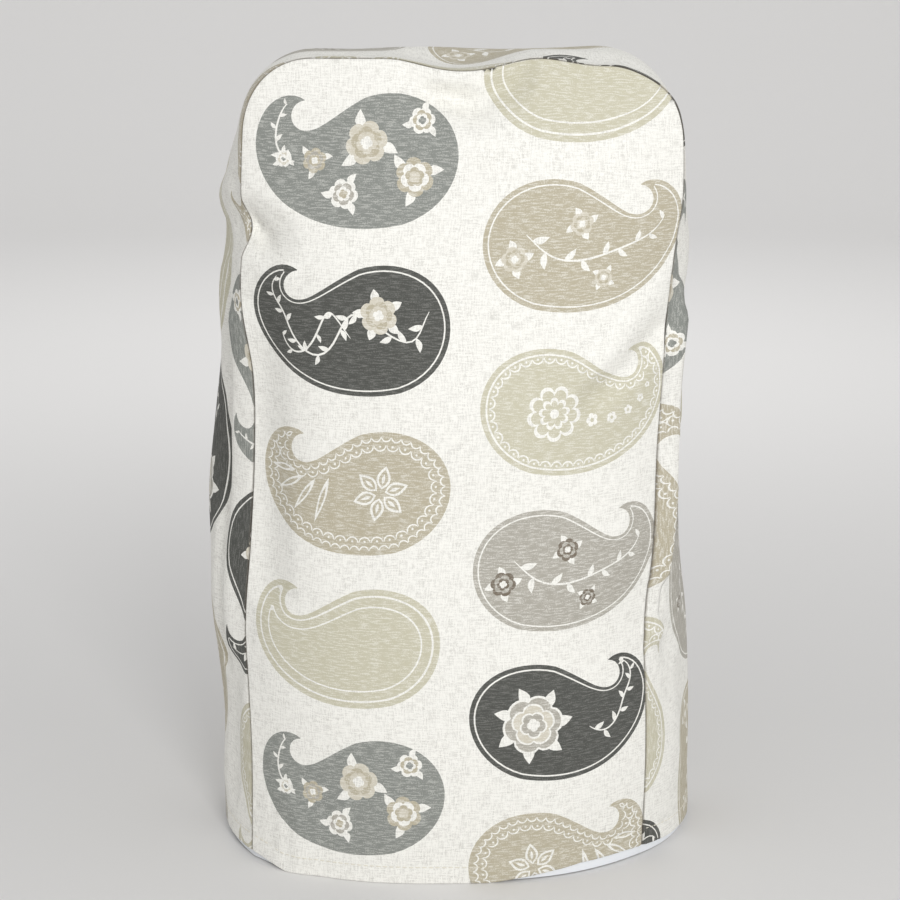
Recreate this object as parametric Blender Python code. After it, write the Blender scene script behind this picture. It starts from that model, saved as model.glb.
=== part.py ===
"""Fitted cloth cover for a countertop blender, standing on its own hem.

A front and a back panel with rounded shoulders are joined by one long gusset, which runs up the
left side, over the top and down the right side. A white lining of the same three pieces hangs
inside and reaches the table where the printed hem is drawn up. Metres, +Z up, front at -Y,
origin at the middle of the floor under the cover.
"""
import math
from collections import namedtuple

import bmesh
import bpy
import numpy as np

# The cut cloth, seam to seam
HEIGHT = 0.4015
PANEL_WIDTH = 0.214
GUSSET_WIDTH = 0.140
LEFT_CORNER = 0.035
RIGHT_CORNER = 0.038
FULLNESS = 2.7

# Thicknesses and clearances
CLOTH = 0.0012
HEM_CLOTH = 0.0020
HEM_DEPTH = 0.010
LINING = 0.0010
LAYER_GAP = 0.0003
SEAM_GAP = 0.0004
LINING_RISE = 0.0005

# Steps of the faceted surfaces
LOWER_ROWS = 16
UPPER_ROWS = 9
UPPER_FROM = 0.290
COLUMNS = 16
EDGE_CROWDING = 0.15
GUSSET_COLUMNS = 8
FRONT_CROWDING = 1.25
PROBE = 0.0005

# The cover at each height: the middle of the front and of the back panel, half the straight
# distance between a panel's seams, the widest places of the sides, and how far the panels swell
Section = namedtuple(
    "Section", "height front_middle back_middle half_chord left_side right_side front back")
SECTIONS = (
    Section(0.000, -0.0030, 0.0030, 0.0994, -0.1212, 0.1265, 0.0320, 0.0320),
    Section(0.060, -0.0020, 0.0025, 0.0994, -0.1208, 0.1252, 0.0340, 0.0330),
    Section(0.095, -0.0030, 0.0010, 0.0993, -0.1232, 0.1224, 0.0350, 0.0340),
    Section(0.120, -0.0042, -0.0010, 0.0990, -0.1256, 0.1212, 0.0356, 0.0344),
    Section(0.170, -0.0007, -0.0030, 0.0988, -0.1257, 0.1188, 0.0365, 0.0350),
    Section(0.213, 0.0012, -0.0040, 0.0980, -0.1222, 0.1176, 0.0370, 0.0350),
    Section(0.250, 0.0022, -0.0035, 0.0988, -0.1185, 0.1146, 0.0350, 0.0340),
    Section(0.287, 0.0008, -0.0020, 0.1022, -0.1178, 0.1152, 0.0310, 0.0310),
    Section(0.315, 0.0028, -0.0010, 0.1030, -0.1140, 0.1166, 0.0270, 0.0270),
    Section(0.335, 0.0042, 0.0000, 0.1042, -0.1142, 0.1142, 0.0235, 0.0235),
    Section(0.352, 0.0045, 0.0000, 0.1040, -0.1105, 0.1125, 0.0200, 0.0200),
    Section(0.374, 0.0045, 0.0000, 0.1030, -0.1040, 0.1095, 0.0150, 0.0150),
    Section(0.4015, 0.0040, 0.0000, 0.1030, -0.1022, 0.1065, 0.0070, 0.0060),
)

# How far the printed hem is drawn up off the table. One turn round the cover counts 1 across the
# front from left to right, 1 along the right gusset, 1 across the back and 1 along the left gusset
Hem = namedtuple("Hem", "place lift")
HEM = (
    Hem(0.00, 0.0042),
    Hem(0.05, 0.0026),
    Hem(0.10, 0.0000),
    Hem(0.60, 0.0000),
    Hem(0.72, 0.0030),
    Hem(0.82, 0.0058),
    Hem(0.92, 0.0062),
    Hem(1.00, 0.0058),
    Hem(1.15, 0.0042),
    Hem(1.50, 0.0035),
    Hem(2.00, 0.0026),
    Hem(2.20, 0.0000),
    Hem(2.80, 0.0000),
    Hem(3.00, 0.0024),
    Hem(3.90, 0.0038),
    Hem(4.00, 0.0042),
)

# Main folds. Start and end give the place across the cloth, from -1 to 1, and the height. A gusset
# runs from its front seam at -1 to its back seam at 1. Depth is inwards, and below 0 for a ridge
Fold = namedtuple("Fold", "surface start end reach depth")
FOLDS = (
    Fold("front", (-0.97, 0.325), (-0.84, 0.319), 0.017, 0.0050),
    Fold("front", (-0.90, 0.345), (-0.60, 0.300), 0.030, -0.0015),
    Fold("front", (-0.22, 0.391), (-0.04, 0.387), 0.013, 0.0030),
    Fold("front", (-0.04, 0.387), (0.26, 0.396), 0.012, 0.0028),
    Fold("front", (0.88, 0.270), (1.02, 0.290), 0.015, 0.0030),
    Fold("front", (-0.80, 0.000), (-0.78, 0.030), 0.022, -0.0030),
    Fold("right", (-0.80, 0.275), (-0.86, 0.120), 0.013, -0.0035),
    Fold("right", (-0.45, 0.270), (-0.60, 0.110), 0.020, 0.0040),
    Fold("left", (-1.00, 0.322), (-0.80, 0.321), 0.015, 0.0045),
    Fold("left", (-0.55, 0.300), (-0.50, 0.180), 0.018, 0.0030),
    Fold("left", (-0.70, 0.340), (-0.30, 0.332), 0.014, -0.0025),
    Fold("left", (-0.60, 0.316), (-0.20, 0.308), 0.014, 0.0020),
    Fold("top", (-0.90, 0.002), (-0.40, 0.002), 0.036, 0.0062),
    Fold("top", (-0.95, 0.085), (-0.95, 0.070), 0.030, 0.0035),
    Fold("top", (0.90, -0.080), (0.90, 0.080), 0.085, 0.0034),
)
INWARDS = {
    "front": (0.0, 1.0, 0.0),
    "left": (1.0, 0.0, 0.0),
    "right": (-1.0, 0.0, 0.0),
    "top": (0.0, 0.0, -1.0),
}

PRINTED_COTTON = dict(colour=(0.80, 0.78, 0.71, 1.0), roughness=0.88)
WHITE_COTTON = dict(colour=(0.88, 0.90, 0.93, 1.0), roughness=0.80)


def column(name, height):
    """One column of SECTIONS at the given heights, on a smooth curve through its rows."""
    heights = np.array([row.height for row in SECTIONS])
    values = np.array([getattr(row, name) for row in SECTIONS])
    slopes = np.gradient(values, heights)
    height = np.clip(height, heights[0], heights[-1])
    below = np.clip(np.searchsorted(heights, height, side="right") - 1, 0, len(heights) - 2)
    step = heights[below + 1] - heights[below]
    s = (height - heights[below]) / step
    return (values[below] * (2 * s**3 - 3 * s**2 + 1)
            + values[below + 1] * (3 * s**2 - 2 * s**3)
            + slopes[below] * step * (s**3 - 2 * s**2 + s)
            + slopes[below + 1] * step * (s**3 - s**2))


def side_bulges(height):
    """How far the left and the right gusset swell past the line from seam to seam."""
    middle = (column("front_middle", height) + column("back_middle", height)) / 2
    half = column("half_chord", height)
    left = middle - half - column("left_side", height)
    right = column("right_side", height) - middle - half
    return left, right


def half_depth(bulge):
    """Half the straight distance across the gusset, whose cut width is spent on its swell."""
    return (GUSSET_WIDTH - 8 * bulge**2 / (3 * GUSSET_WIDTH)) / 2


def panel_surface(side, across, height):
    """Points of the smooth front or back panel from flat places, both in metres."""
    half = column("half_chord", height)
    swell = column(side, height)
    turn = 2 * np.arctan(swell / half)
    angle = across / (PANEL_WIDTH / 2) * turn
    share = np.sin(angle) / np.sin(turn)
    rise = 1 - np.abs(share)**FULLNESS
    left, right = side_bulges(height)
    depth = half_depth(left) * (1 - share) / 2 + half_depth(right) * (1 + share) / 2
    outwards = -1 if side == "front" else 1
    x = column(side + "_middle", height) + half * share
    return np.stack([x, outwards * (depth + swell * rise), height + 0 * x], axis=-1)


SIDE_LEFT = HEIGHT - LEFT_CORNER
ARC_LEFT = LEFT_CORNER * math.pi / 2
TOP_RUN = PANEL_WIDTH - LEFT_CORNER - RIGHT_CORNER
ARC_RIGHT = RIGHT_CORNER * math.pi / 2
SIDE_RIGHT = HEIGHT - RIGHT_CORNER
ROUND = SIDE_LEFT + ARC_LEFT + TOP_RUN + ARC_RIGHT + SIDE_RIGHT


def outline(way):
    """Flat places on a panel's seam, from the left hem up, over the top and down on the right."""
    half = PANEL_WIDTH / 2
    up = np.clip(way, None, SIDE_LEFT)
    first = np.clip((way - SIDE_LEFT) / LEFT_CORNER, 0, math.pi / 2)
    over = np.clip(way - SIDE_LEFT - ARC_LEFT, 0, TOP_RUN)
    second = np.clip((way - SIDE_LEFT - ARC_LEFT - TOP_RUN) / RIGHT_CORNER, 0, math.pi / 2)
    down = np.clip(way - (ROUND - SIDE_RIGHT), 0, None)
    across = (-half + LEFT_CORNER * (1 - np.cos(first)) + over + RIGHT_CORNER * np.sin(second))
    height = up + LEFT_CORNER * np.sin(first) - RIGHT_CORNER * (1 - np.cos(second)) - down
    return across, height


def gusset_surface(way, across):
    """Points of the smooth gusset, from its way along the seam and -1 to 1 from front to back."""
    seam_across, seam_height = outline(way)
    front = panel_surface("front", seam_across, seam_height)
    back = panel_surface("back", seam_across, seam_height)
    ahead = panel_surface("front", *outline(way + PROBE))
    behind = panel_surface("front", *outline(way - PROBE))
    chord = back - front
    outwards = np.cross(ahead - behind, chord)
    outwards /= np.linalg.norm(outwards, axis=-1, keepdims=True)
    left, right = side_bulges(seam_height)
    share = seam_across / PANEL_WIDTH + 0.5
    swell = left * (1 - share) + right * share
    turn = 2 * np.arctan(2 * swell / np.linalg.norm(chord, axis=-1))
    run = (np.sin(across * turn) / np.sin(turn))[..., None]
    rise = ((np.cos(across * turn) - np.cos(turn)) / (1 - np.cos(turn)) * swell)[..., None]
    return (front + back) / 2 + chord / 2 * run + outwards * rise


def fold_anchor(surface, place):
    """The point of the smooth cover where a fold's end lies."""
    across, height = place
    if surface == "front":
        return panel_surface("front", np.array(across * PANEL_WIDTH / 2), np.array(height))
    if surface == "top":
        way = SIDE_LEFT + ARC_LEFT + TOP_RUN / 2 + height
        return gusset_surface(np.array(way), np.array(across))
    way = height if surface == "left" else ROUND - height
    return gusset_surface(np.array(way), np.array(across))


FOLD_LINES = [
    (fold_anchor(fold.surface, fold.start), fold_anchor(fold.surface, fold.end), fold)
    for fold in FOLDS
]


def folded(points):
    """Moves points by every fold near them, each a soft trough or ridge along its line."""
    moved = points.copy()
    for start, end, fold in FOLD_LINES:
        line = end - start
        along = np.clip((points - start) @ line / (line @ line), 0, 1)[..., None]
        away = np.linalg.norm(points - start - along * line, axis=-1) / fold.reach
        share = np.clip(1 - away**2, 0, None)**2
        moved += share[..., None] * fold.depth * np.array(INWARDS[fold.surface])
    return moved


def panel(side, across, height):
    return folded(panel_surface(side, across, height))


def gusset(way, across):
    return folded(gusset_surface(way, across))


def normals(surface, first, second, step_first, step_second):
    """Unit normals of a surface at the given places."""
    along = surface(first + step_first, second) - surface(first - step_first, second)
    over = surface(first, second + step_second) - surface(first, second - step_second)
    normal = np.cross(along, over)
    return normal / np.linalg.norm(normal, axis=-1, keepdims=True)


def panel_normals(side, across, height):
    normal = normals(lambda a, b: panel(side, a, b), across, height, PROBE, PROBE)
    return normal if side == "front" else -normal


def gusset_normals(way, across):
    return normals(gusset, way, across, PROBE, PROBE / GUSSET_WIDTH)


def hem_lift(place):
    """Height of the printed hem at a place round the cover."""
    return np.interp(place, [row.place for row in HEM], [row.lift for row in HEM])


def side_rows(corner):
    """Way along one side seam at each row, from the hem to the middle of the corner."""
    end = HEIGHT - corner + corner * math.pi / 4
    lower = np.linspace(HEM_DEPTH, UPPER_FROM, LOWER_ROWS + 1)
    upper = np.linspace(UPPER_FROM, end, UPPER_ROWS + 1)
    return np.concatenate([[0.0], lower, upper[1:]])


def column_shares():
    """Places of the columns from 0 to 1, closer together near the seams."""
    even = np.linspace(-1, 1, COLUMNS + 1)
    return ((1 + EDGE_CROWDING) * even - EDGE_CROWDING * even**3 + 1) / 2


def seam_ways():
    """Way along the seam at each row on the left, each column on top and each row on the right."""
    left = side_rows(LEFT_CORNER)
    right = ROUND - side_rows(RIGHT_CORNER)[::-1]
    top = left[-1] + (right[0] - left[-1]) * column_shares()
    return left, top, right


def panel_grid():
    """Flat places of a panel's points, row by row, between its four edges."""
    left_way, top_way, right_way = seam_ways()
    left = np.stack(outline(left_way), axis=-1)[:, None]
    right = np.stack(outline(right_way[::-1]), axis=-1)[:, None]
    top = np.stack(outline(top_way), axis=-1)[None]
    share = column_shares()[None, :, None]
    up = (left_way / left_way[-1])[:, None, None]
    bottom = np.concatenate([(share - 0.5) * PANEL_WIDTH, 0 * share], axis=-1)
    corners = ((1 - up) * ((1 - share) * left[0] + share * right[0])
               + up * ((1 - share) * left[-1] + share * right[-1]))
    grid = (1 - up) * bottom + up * top + (1 - share) * left + share * right - corners
    return grid[..., 0], grid[..., 1]


def gusset_grid():
    """Way along the seam and place across the gusset, station by station."""
    left, top, right = seam_ways()
    way = np.concatenate([left, top[1:-1], right])
    even = np.linspace(0, 1, GUSSET_COLUMNS + 1)
    across = 2 * even**FRONT_CROWDING - 1
    return np.meshgrid(way, across, indexing="ij")


def thickness(height):
    """Thickness of the printed cloth, which is double at the turned hem."""
    share = np.clip((height - HEM_DEPTH) / HEM_DEPTH, 0, 1)
    return HEM_CLOTH + (CLOTH - HEM_CLOTH) * share


def seam_frame(side, way):
    """At places on a seam: the way in through the cloths' corner, and the way off the gusset."""
    flat = outline(way)
    edge = np.full_like(way, -1.0 if side == "front" else 1.0)
    first = panel_normals(side, *flat)
    second = gusset_normals(way, edge)
    together = first + second
    inwards = together / (1 + np.sum(first * second, axis=-1, keepdims=True))
    tangent = gusset(way + PROBE, edge) - gusset(way - PROBE, edge)
    off = np.cross(tangent, together)
    off /= np.linalg.norm(off, axis=-1, keepdims=True)
    to_panel = panel(side, flat[0] * 0.9, flat[1] * 0.95 + 0.01) - panel(side, *flat)
    off *= np.sign(np.sum(off * to_panel, axis=-1, keepdims=True))
    return inwards, off * SEAM_GAP / 2


def sheet_layers(points, inwards, shift, first, second):
    """The outer and the inner face of a sheet that lies between two depths in the cloth."""
    outer = points - inwards * first[..., None] + shift
    inner = points - inwards * second[..., None] + shift
    return outer, inner


def level_hem(layers, rows, points):
    """Cuts the hem rows of both faces square at the height of the cloth's edge."""
    for layer in layers:
        for row in rows:
            layer[row, :, 2] = points[row, :, 2]


def depths(height, lining):
    """Where the sheet starts and ends, measured from the printed face."""
    printed = thickness(height)
    if lining:
        return printed + LAYER_GAP, printed + LAYER_GAP + LINING
    return 0 * printed, printed


def panel_layers(side, lining):
    across, height = panel_grid()
    place = across[0] / PANEL_WIDTH + 0.5
    lift = hem_lift(place if side == "front" else 3 - place)
    height = height.copy()
    height[0] = LINING_RISE if lining else lift
    points = panel(side, across, height)
    inwards = panel_normals(side, across, height)
    shift = np.zeros_like(points)
    left, top, right = seam_ways()
    edges = ((np.s_[:, 0], left), (np.s_[:, -1], right[::-1]), (np.s_[-1, :], top))
    for edge, way in edges:
        inwards[edge], shift[edge] = seam_frame(side, way)
    layers = sheet_layers(points, inwards, shift, *depths(height, lining))
    level_hem(layers, (0,), points)
    return layers


def gusset_layers(lining):
    way, across = gusset_grid()
    if lining:
        left_lift = right_lift = LINING_RISE
    else:
        left_lift = hem_lift(3.5 - across[0] / 2)
        left_lift[0] = hem_lift(0.0)
        right_lift = hem_lift(1.5 + across[-1] / 2)
    seam = way[:, 0].copy()
    way = way.copy()
    way[0] = left_lift
    way[-1] = ROUND - right_lift
    points = gusset(way, across)
    points[0, :, 2] = left_lift
    points[-1, :, 2] = right_lift
    inwards = gusset_normals(way, across)
    shift = np.zeros_like(points)
    for edge, side in ((0, "front"), (-1, "back")):
        inwards[:, edge], off = seam_frame(side, seam)
        shift[:, edge] = -off
    layers = sheet_layers(points, inwards, shift, *depths(outline(way)[1], lining))
    level_hem(layers, (0, -1), points)
    return layers


def grid_faces(rows, columns):
    """Triangles of a grid, with diagonals that lean towards the top corners."""
    faces = []
    for row in range(rows):
        for place in range(columns):
            low = row * (columns + 1) + place
            high = low + columns + 1
            if place < columns / 2:
                faces += [(low, low + 1, high), (low + 1, high + 1, high)]
            else:
                faces += [(low, low + 1, high + 1), (low, high + 1, high)]
    return faces


def grid_rim(rows, columns):
    """Points round a grid's edge in order."""
    wide = columns + 1
    bottom = list(range(columns))
    right = [row * wide + columns for row in range(rows)]
    top = [rows * wide + place for place in range(columns, 0, -1)]
    left = [row * wide for row in range(rows, 0, -1)]
    return bottom + right + top + left


def closed_sheet(name, layers, origin, material):
    """One closed solid between the two faces of a sheet, with the shared origin moved to 0."""
    outer, inner = layers
    rows, columns = outer.shape[0] - 1, outer.shape[1] - 1
    count = (rows + 1) * (columns + 1)
    places = np.concatenate([outer.reshape(-1, 3), inner.reshape(-1, 3)]) - origin
    bm = bmesh.new()
    points = [bm.verts.new(place) for place in places]
    for face in grid_faces(rows, columns):
        bm.faces.new([points[i] for i in face])
        bm.faces.new([points[i + count] for i in reversed(face)])
    rim = grid_rim(rows, columns)
    for here, ahead in zip(rim, rim[1:] + rim[:1]):
        bm.faces.new((points[ahead], points[here], points[here + count]))
        bm.faces.new((points[ahead], points[here + count], points[ahead + count]))
    bmesh.ops.recalc_face_normals(bm, faces=bm.faces)
    mesh = bpy.data.meshes.new(name)
    bm.to_mesh(mesh)
    bm.free()
    mesh.shade_smooth()
    mesh.set_sharp_from_angle(angle=math.radians(60))
    mesh.materials.append(material)
    obj = bpy.data.objects.new(name, mesh)
    bpy.context.scene.collection.objects.link(obj)
    return obj


def cloth_material(name, colour, roughness):
    material = bpy.data.materials.new(name)
    material.use_nodes = True
    shader = material.node_tree.nodes["Principled BSDF"]
    shader.inputs["Base Color"].default_value = colour
    shader.inputs["Roughness"].default_value = roughness
    shader.inputs["Metallic"].default_value = 0.0
    material.diffuse_color = colour
    return material


def floor_middle(pieces):
    """The middle of the floor under the cover."""
    points = np.concatenate([layers[0].reshape(-1, 3) for layers in pieces.values()])
    middle = (points.min(axis=0) + points.max(axis=0)) / 2
    return np.array([middle[0], middle[1], 0.0])


def main():
    for obj in list(bpy.data.objects):
        bpy.data.objects.remove(obj, do_unlink=True)
    cover = {
        "front_panel": panel_layers("front", False),
        "back_panel": panel_layers("back", False),
        "gusset": gusset_layers(False),
    }
    lining = {
        "lining_front": panel_layers("front", True),
        "lining_back": panel_layers("back", True),
        "lining_gusset": gusset_layers(True),
    }
    origin = floor_middle(cover)
    for pieces, look in ((cover, PRINTED_COTTON), (lining, WHITE_COTTON)):
        for name, layers in pieces.items():
            closed_sheet(name, layers, origin, cloth_material(name, **look))


main()
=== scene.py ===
"""A fitted cotton cover for a countertop blender: printed cloth, white lining and hem stitches."""
import math
import random
from collections import namedtuple

import bpy
import numpy as np
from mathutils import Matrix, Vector
from mathutils.geometry import delaunay_2d_cdt


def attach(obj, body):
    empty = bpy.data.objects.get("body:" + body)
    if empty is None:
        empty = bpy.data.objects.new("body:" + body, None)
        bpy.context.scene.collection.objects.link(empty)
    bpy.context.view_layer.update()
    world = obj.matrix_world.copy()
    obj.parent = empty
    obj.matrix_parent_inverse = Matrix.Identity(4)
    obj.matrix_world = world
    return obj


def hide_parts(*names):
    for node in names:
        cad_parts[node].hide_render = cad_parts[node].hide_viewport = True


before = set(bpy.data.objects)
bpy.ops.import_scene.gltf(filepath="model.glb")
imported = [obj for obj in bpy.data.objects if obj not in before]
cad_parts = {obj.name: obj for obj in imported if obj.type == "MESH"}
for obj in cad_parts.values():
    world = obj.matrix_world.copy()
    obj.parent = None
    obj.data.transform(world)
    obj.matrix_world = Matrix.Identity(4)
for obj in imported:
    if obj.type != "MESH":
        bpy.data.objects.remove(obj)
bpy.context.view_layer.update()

# The cut cloth, seam to seam, in metres
HEIGHT = 0.4015
PANEL_WIDTH = 0.214
GUSSET_WIDTH = 0.140
LEFT_CORNER = 0.035
RIGHT_CORNER = 0.038
FULLNESS = 2.7
PROBE = 0.0005

# Cloth thicknesses and clearances
CLOTH = 0.0012
HEM_CLOTH = 0.0018
HEM_DEPTH = 0.010
HEM_STEP = 0.0012
LINING = 0.0007
LAYER_GAP = 0.0004
SEAM_GAP = 0.0003
LINING_RISE = 0.0006
LINING_CLEAR = 0.020

# Seams and the turned hem
SEAM_ROLL = 0.0010
SEAM_REACH = 0.006
# Width of the painted shade along the seam grooves, and the share of its dark colour that is painted
# in
SEAM_SHADE_WIDTH = 0.00050
SEAM_SHADE_SHARE = 0.66
HEM_ROLL = 0.0007
HEM_GROOVE = 0.00025
STITCH_HEIGHT = 0.0090
STITCH_GROOVE = 0.0009
STITCH_LENGTH = 0.0025
STITCH_PITCH = 0.0033
STITCH_INSET = 0.0020
THREAD = 0.00026

# Steps of the fine surfaces, and the depths of the close rows along their edges
SEAM_ROWS = (0.00010, 0.00025, 0.0005, 0.0009, 0.0015)
PRINT_STEP = 0.0040
EDGE_STEP = 0.0024
LINING_STEP = 0.0050
LINING_ROWS = (0.0015,)
NORMAL_STEP = 0.00015

# The middle of the floor under the cover, in the frame that the tables below use
MIDDLE = (0.000285, -0.000724, 0.0)

# Level sections through the cover: the middles and the half width of the seams, how far out the
# sides reach, and how far the front and back panels swell beyond their seams
Section = namedtuple(
    "Section", "height front_middle back_middle half_chord left_side right_side front back")
SECTIONS = (
    Section(0.000, -0.0030, 0.0030, 0.0994, -0.1212, 0.1265, 0.0320, 0.0320),
    Section(0.060, -0.0020, 0.0025, 0.0994, -0.1208, 0.1252, 0.0340, 0.0330),
    Section(0.095, -0.0030, 0.0010, 0.0993, -0.1232, 0.1224, 0.0350, 0.0340),
    Section(0.120, -0.0042, -0.0010, 0.0990, -0.1256, 0.1212, 0.0356, 0.0344),
    Section(0.170, -0.0007, -0.0030, 0.0988, -0.1257, 0.1188, 0.0365, 0.0350),
    Section(0.213, 0.0012, -0.0040, 0.0980, -0.1222, 0.1176, 0.0370, 0.0350),
    Section(0.250, 0.0022, -0.0035, 0.0988, -0.1185, 0.1146, 0.0350, 0.0340),
    Section(0.287, 0.0008, -0.0020, 0.1022, -0.1178, 0.1152, 0.0310, 0.0310),
    Section(0.315, 0.0028, -0.0010, 0.1030, -0.1140, 0.1166, 0.0270, 0.0270),
    Section(0.335, 0.0042, 0.0000, 0.1042, -0.1142, 0.1142, 0.0235, 0.0235),
    Section(0.352, 0.0045, 0.0000, 0.1040, -0.1105, 0.1125, 0.0200, 0.0200),
    Section(0.374, 0.0045, 0.0000, 0.1030, -0.1040, 0.1095, 0.0150, 0.0150),
    Section(0.4015, 0.0040, 0.0000, 0.1030, -0.1022, 0.1065, 0.0070, 0.0060),
)

# Lift of the hem off the floor. Places go round from the left front seam: the front panel is 0 to 1,
# the right side 1 to 2, the back panel 2 to 3 and the left side 3 to 4
Hem = namedtuple("Hem", "place lift")
HEM = (
    Hem(0.00, 0.0042),
    Hem(0.05, 0.0026),
    Hem(0.10, 0.0000),
    Hem(0.60, 0.0000),
    Hem(0.72, 0.0030),
    Hem(0.82, 0.0058),
    Hem(0.92, 0.0062),
    Hem(1.00, 0.0058),
    Hem(1.15, 0.0042),
    Hem(1.50, 0.0035),
    Hem(2.00, 0.0026),
    Hem(2.20, 0.0000),
    Hem(2.80, 0.0000),
    Hem(3.00, 0.0024),
    Hem(3.90, 0.0038),
    Hem(4.00, 0.0042),
)

# Main folds. Starts and ends are a place from -1 to 1 across the surface and a height, or on top a
# distance from its middle. A positive depth goes into the cover
Fold = namedtuple("Fold", "surface start end reach depth")
FOLDS = (
    Fold("front", (-0.97, 0.325), (-0.84, 0.319), 0.017, 0.0050),
    Fold("front", (-0.90, 0.345), (-0.60, 0.300), 0.030, -0.0015),
    Fold("front", (-0.22, 0.391), (-0.04, 0.387), 0.013, 0.0030),
    Fold("front", (-0.04, 0.387), (0.26, 0.396), 0.012, 0.0028),
    Fold("front", (0.88, 0.270), (1.02, 0.290), 0.015, 0.0030),
    Fold("front", (-0.80, 0.000), (-0.78, 0.030), 0.022, -0.0030),
    Fold("right", (-0.80, 0.275), (-0.86, 0.120), 0.013, -0.0035),
    Fold("right", (-0.45, 0.270), (-0.60, 0.110), 0.020, 0.0040),
    Fold("left", (-1.00, 0.322), (-0.80, 0.321), 0.015, 0.0045),
    Fold("left", (-0.55, 0.300), (-0.50, 0.180), 0.018, 0.0030),
    Fold("left", (-0.70, 0.340), (-0.30, 0.332), 0.014, -0.0025),
    Fold("left", (-0.60, 0.316), (-0.20, 0.308), 0.014, 0.0020),
    Fold("top", (-0.90, 0.002), (-0.40, 0.002), 0.036, 0.0062),
    Fold("top", (-0.95, 0.085), (-0.95, 0.070), 0.030, 0.0035),
    Fold("top", (0.90, -0.080), (0.90, 0.080), 0.085, 0.0034),
)

# Sharper creases and small dents beside the main folds, from the photo in front and guessed behind
CREASES = (
    Fold("front", (-0.99, 0.322), (-0.86, 0.316), 0.009, 0.0024),
    Fold("front", (-0.93, 0.3225), (-0.88, 0.3190), 0.009, 0.0054),
    Fold("front", (-0.97, 0.340), (-0.80, 0.336), 0.011, -0.0018),
    Fold("front", (-0.96, 0.298), (-0.78, 0.303), 0.012, -0.0016),
    Fold("front", (-0.14, 0.385), (0.06, 0.379), 0.012, 0.0034),
    Fold("front", (-0.10, 0.379), (0.16, 0.383), 0.017, 0.0034),
    Fold("front", (0.04, 0.380), (0.26, 0.390), 0.009, 0.0022),
    Fold("front", (-0.14, 0.361), (0.18, 0.361), 0.014, -0.0018),
    Fold("front", (0.30, 0.3945), (0.78, 0.3885), 0.005, -0.0008),
    Fold("front", (0.62, 0.244), (0.97, 0.272), 0.012, 0.0046),
    Fold("front", (0.66, 0.263), (0.96, 0.291), 0.012, -0.0024),
    Fold("front", (-0.90, 0.285), (-0.87, 0.150), 0.019, 0.0046),
    Fold("front", (-0.66, 0.270), (-0.64, 0.160), 0.026, -0.0022),
    Fold("front", (-0.87, 0.010), (-0.86, 0.036), 0.006, 0.0014),
    Fold("front", (-0.79, 0.006), (-0.79, 0.028), 0.006, 0.0012),
    Fold("right", (-0.84, 0.290), (-0.90, 0.150), 0.009, -0.0036),
    Fold("right", (-0.60, 0.285), (-0.76, 0.130), 0.011, 0.0062),
    Fold("right", (-0.20, 0.200), (-0.30, 0.060), 0.022, 0.0022),
    Fold("left", (-0.60, 0.295), (-0.58, 0.100), 0.010, 0.0042),
    Fold("left", (-0.80, 0.275), (-0.80, 0.110), 0.011, -0.0020),
    Fold("left", (-0.80, 0.100), (-0.60, 0.030), 0.014, 0.0020),
    Fold("back", (-0.95, 0.322), (-0.72, 0.312), 0.014, 0.0034),
    Fold("back", (0.90, 0.335), (0.60, 0.300), 0.022, 0.0026),
    Fold("back", (-0.40, 0.388), (0.22, 0.384), 0.014, 0.0028),
    Fold("back", (0.80, 0.220), (0.72, 0.090), 0.026, 0.0030),
)
# The way into the cover from each surface
INWARDS = {
    "front": (0.0, 1.0, 0.0),
    "back": (0.0, -1.0, 0.0),
    "left": (1.0, 0.0, 0.0),
    "right": (-1.0, 0.0, 0.0),
    "top": (0.0, 0.0, -1.0),
}


def unit(vectors):
    """The vectors, each with length 1."""
    return vectors / np.linalg.norm(vectors, axis=-1, keepdims=True)


def towards(heading):
    """Flat unit vectors of the given headings."""
    return np.stack([np.cos(heading), np.sin(heading)], axis=-1)


def column(name, height):
    """A column of the sections at any height, along a smooth curve through its values."""
    heights = np.array([row.height for row in SECTIONS])
    values = np.array([getattr(row, name) for row in SECTIONS])
    slopes = np.gradient(values, heights)
    height = np.clip(height, heights[0], heights[-1])
    below = np.clip(np.searchsorted(heights, height, side="right") - 1, 0, len(heights) - 2)
    step = heights[below + 1] - heights[below]
    s = (height - heights[below]) / step
    return (values[below] * (2 * s**3 - 3 * s**2 + 1)
            + values[below + 1] * (3 * s**2 - 2 * s**3)
            + slopes[below] * step * (s**3 - 2 * s**2 + s)
            + slopes[below + 1] * step * (s**3 - s**2))


def side_bulges(height):
    """How far the left and right side reach out beyond the seams."""
    middle = (column("front_middle", height) + column("back_middle", height)) / 2
    half = column("half_chord", height)
    left = middle - half - column("left_side", height)
    right = column("right_side", height) - middle - half
    return left, right


def half_depth(bulge):
    """Half the distance between the seams of a gusset that bulges as an arc."""
    return (GUSSET_WIDTH - 8 * bulge**2 / (3 * GUSSET_WIDTH)) / 2


def panel_surface(side, across, height):
    """Points of the front or back panel without its folds, from flat places."""
    half = column("half_chord", height)
    swell = column(side, height)
    turn = 2 * np.arctan(swell / half)
    angle = across / (PANEL_WIDTH / 2) * turn
    share = np.sin(angle) / np.sin(turn)
    rise = 1 - np.abs(share)**FULLNESS
    left, right = side_bulges(height)
    depth = half_depth(left) * (1 - share) / 2 + half_depth(right) * (1 + share) / 2
    outwards = -1 if side == "front" else 1
    x = column(side + "_middle", height) + half * share
    return np.stack([x, outwards * (depth + swell * rise), height + 0 * x], axis=-1)


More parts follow.
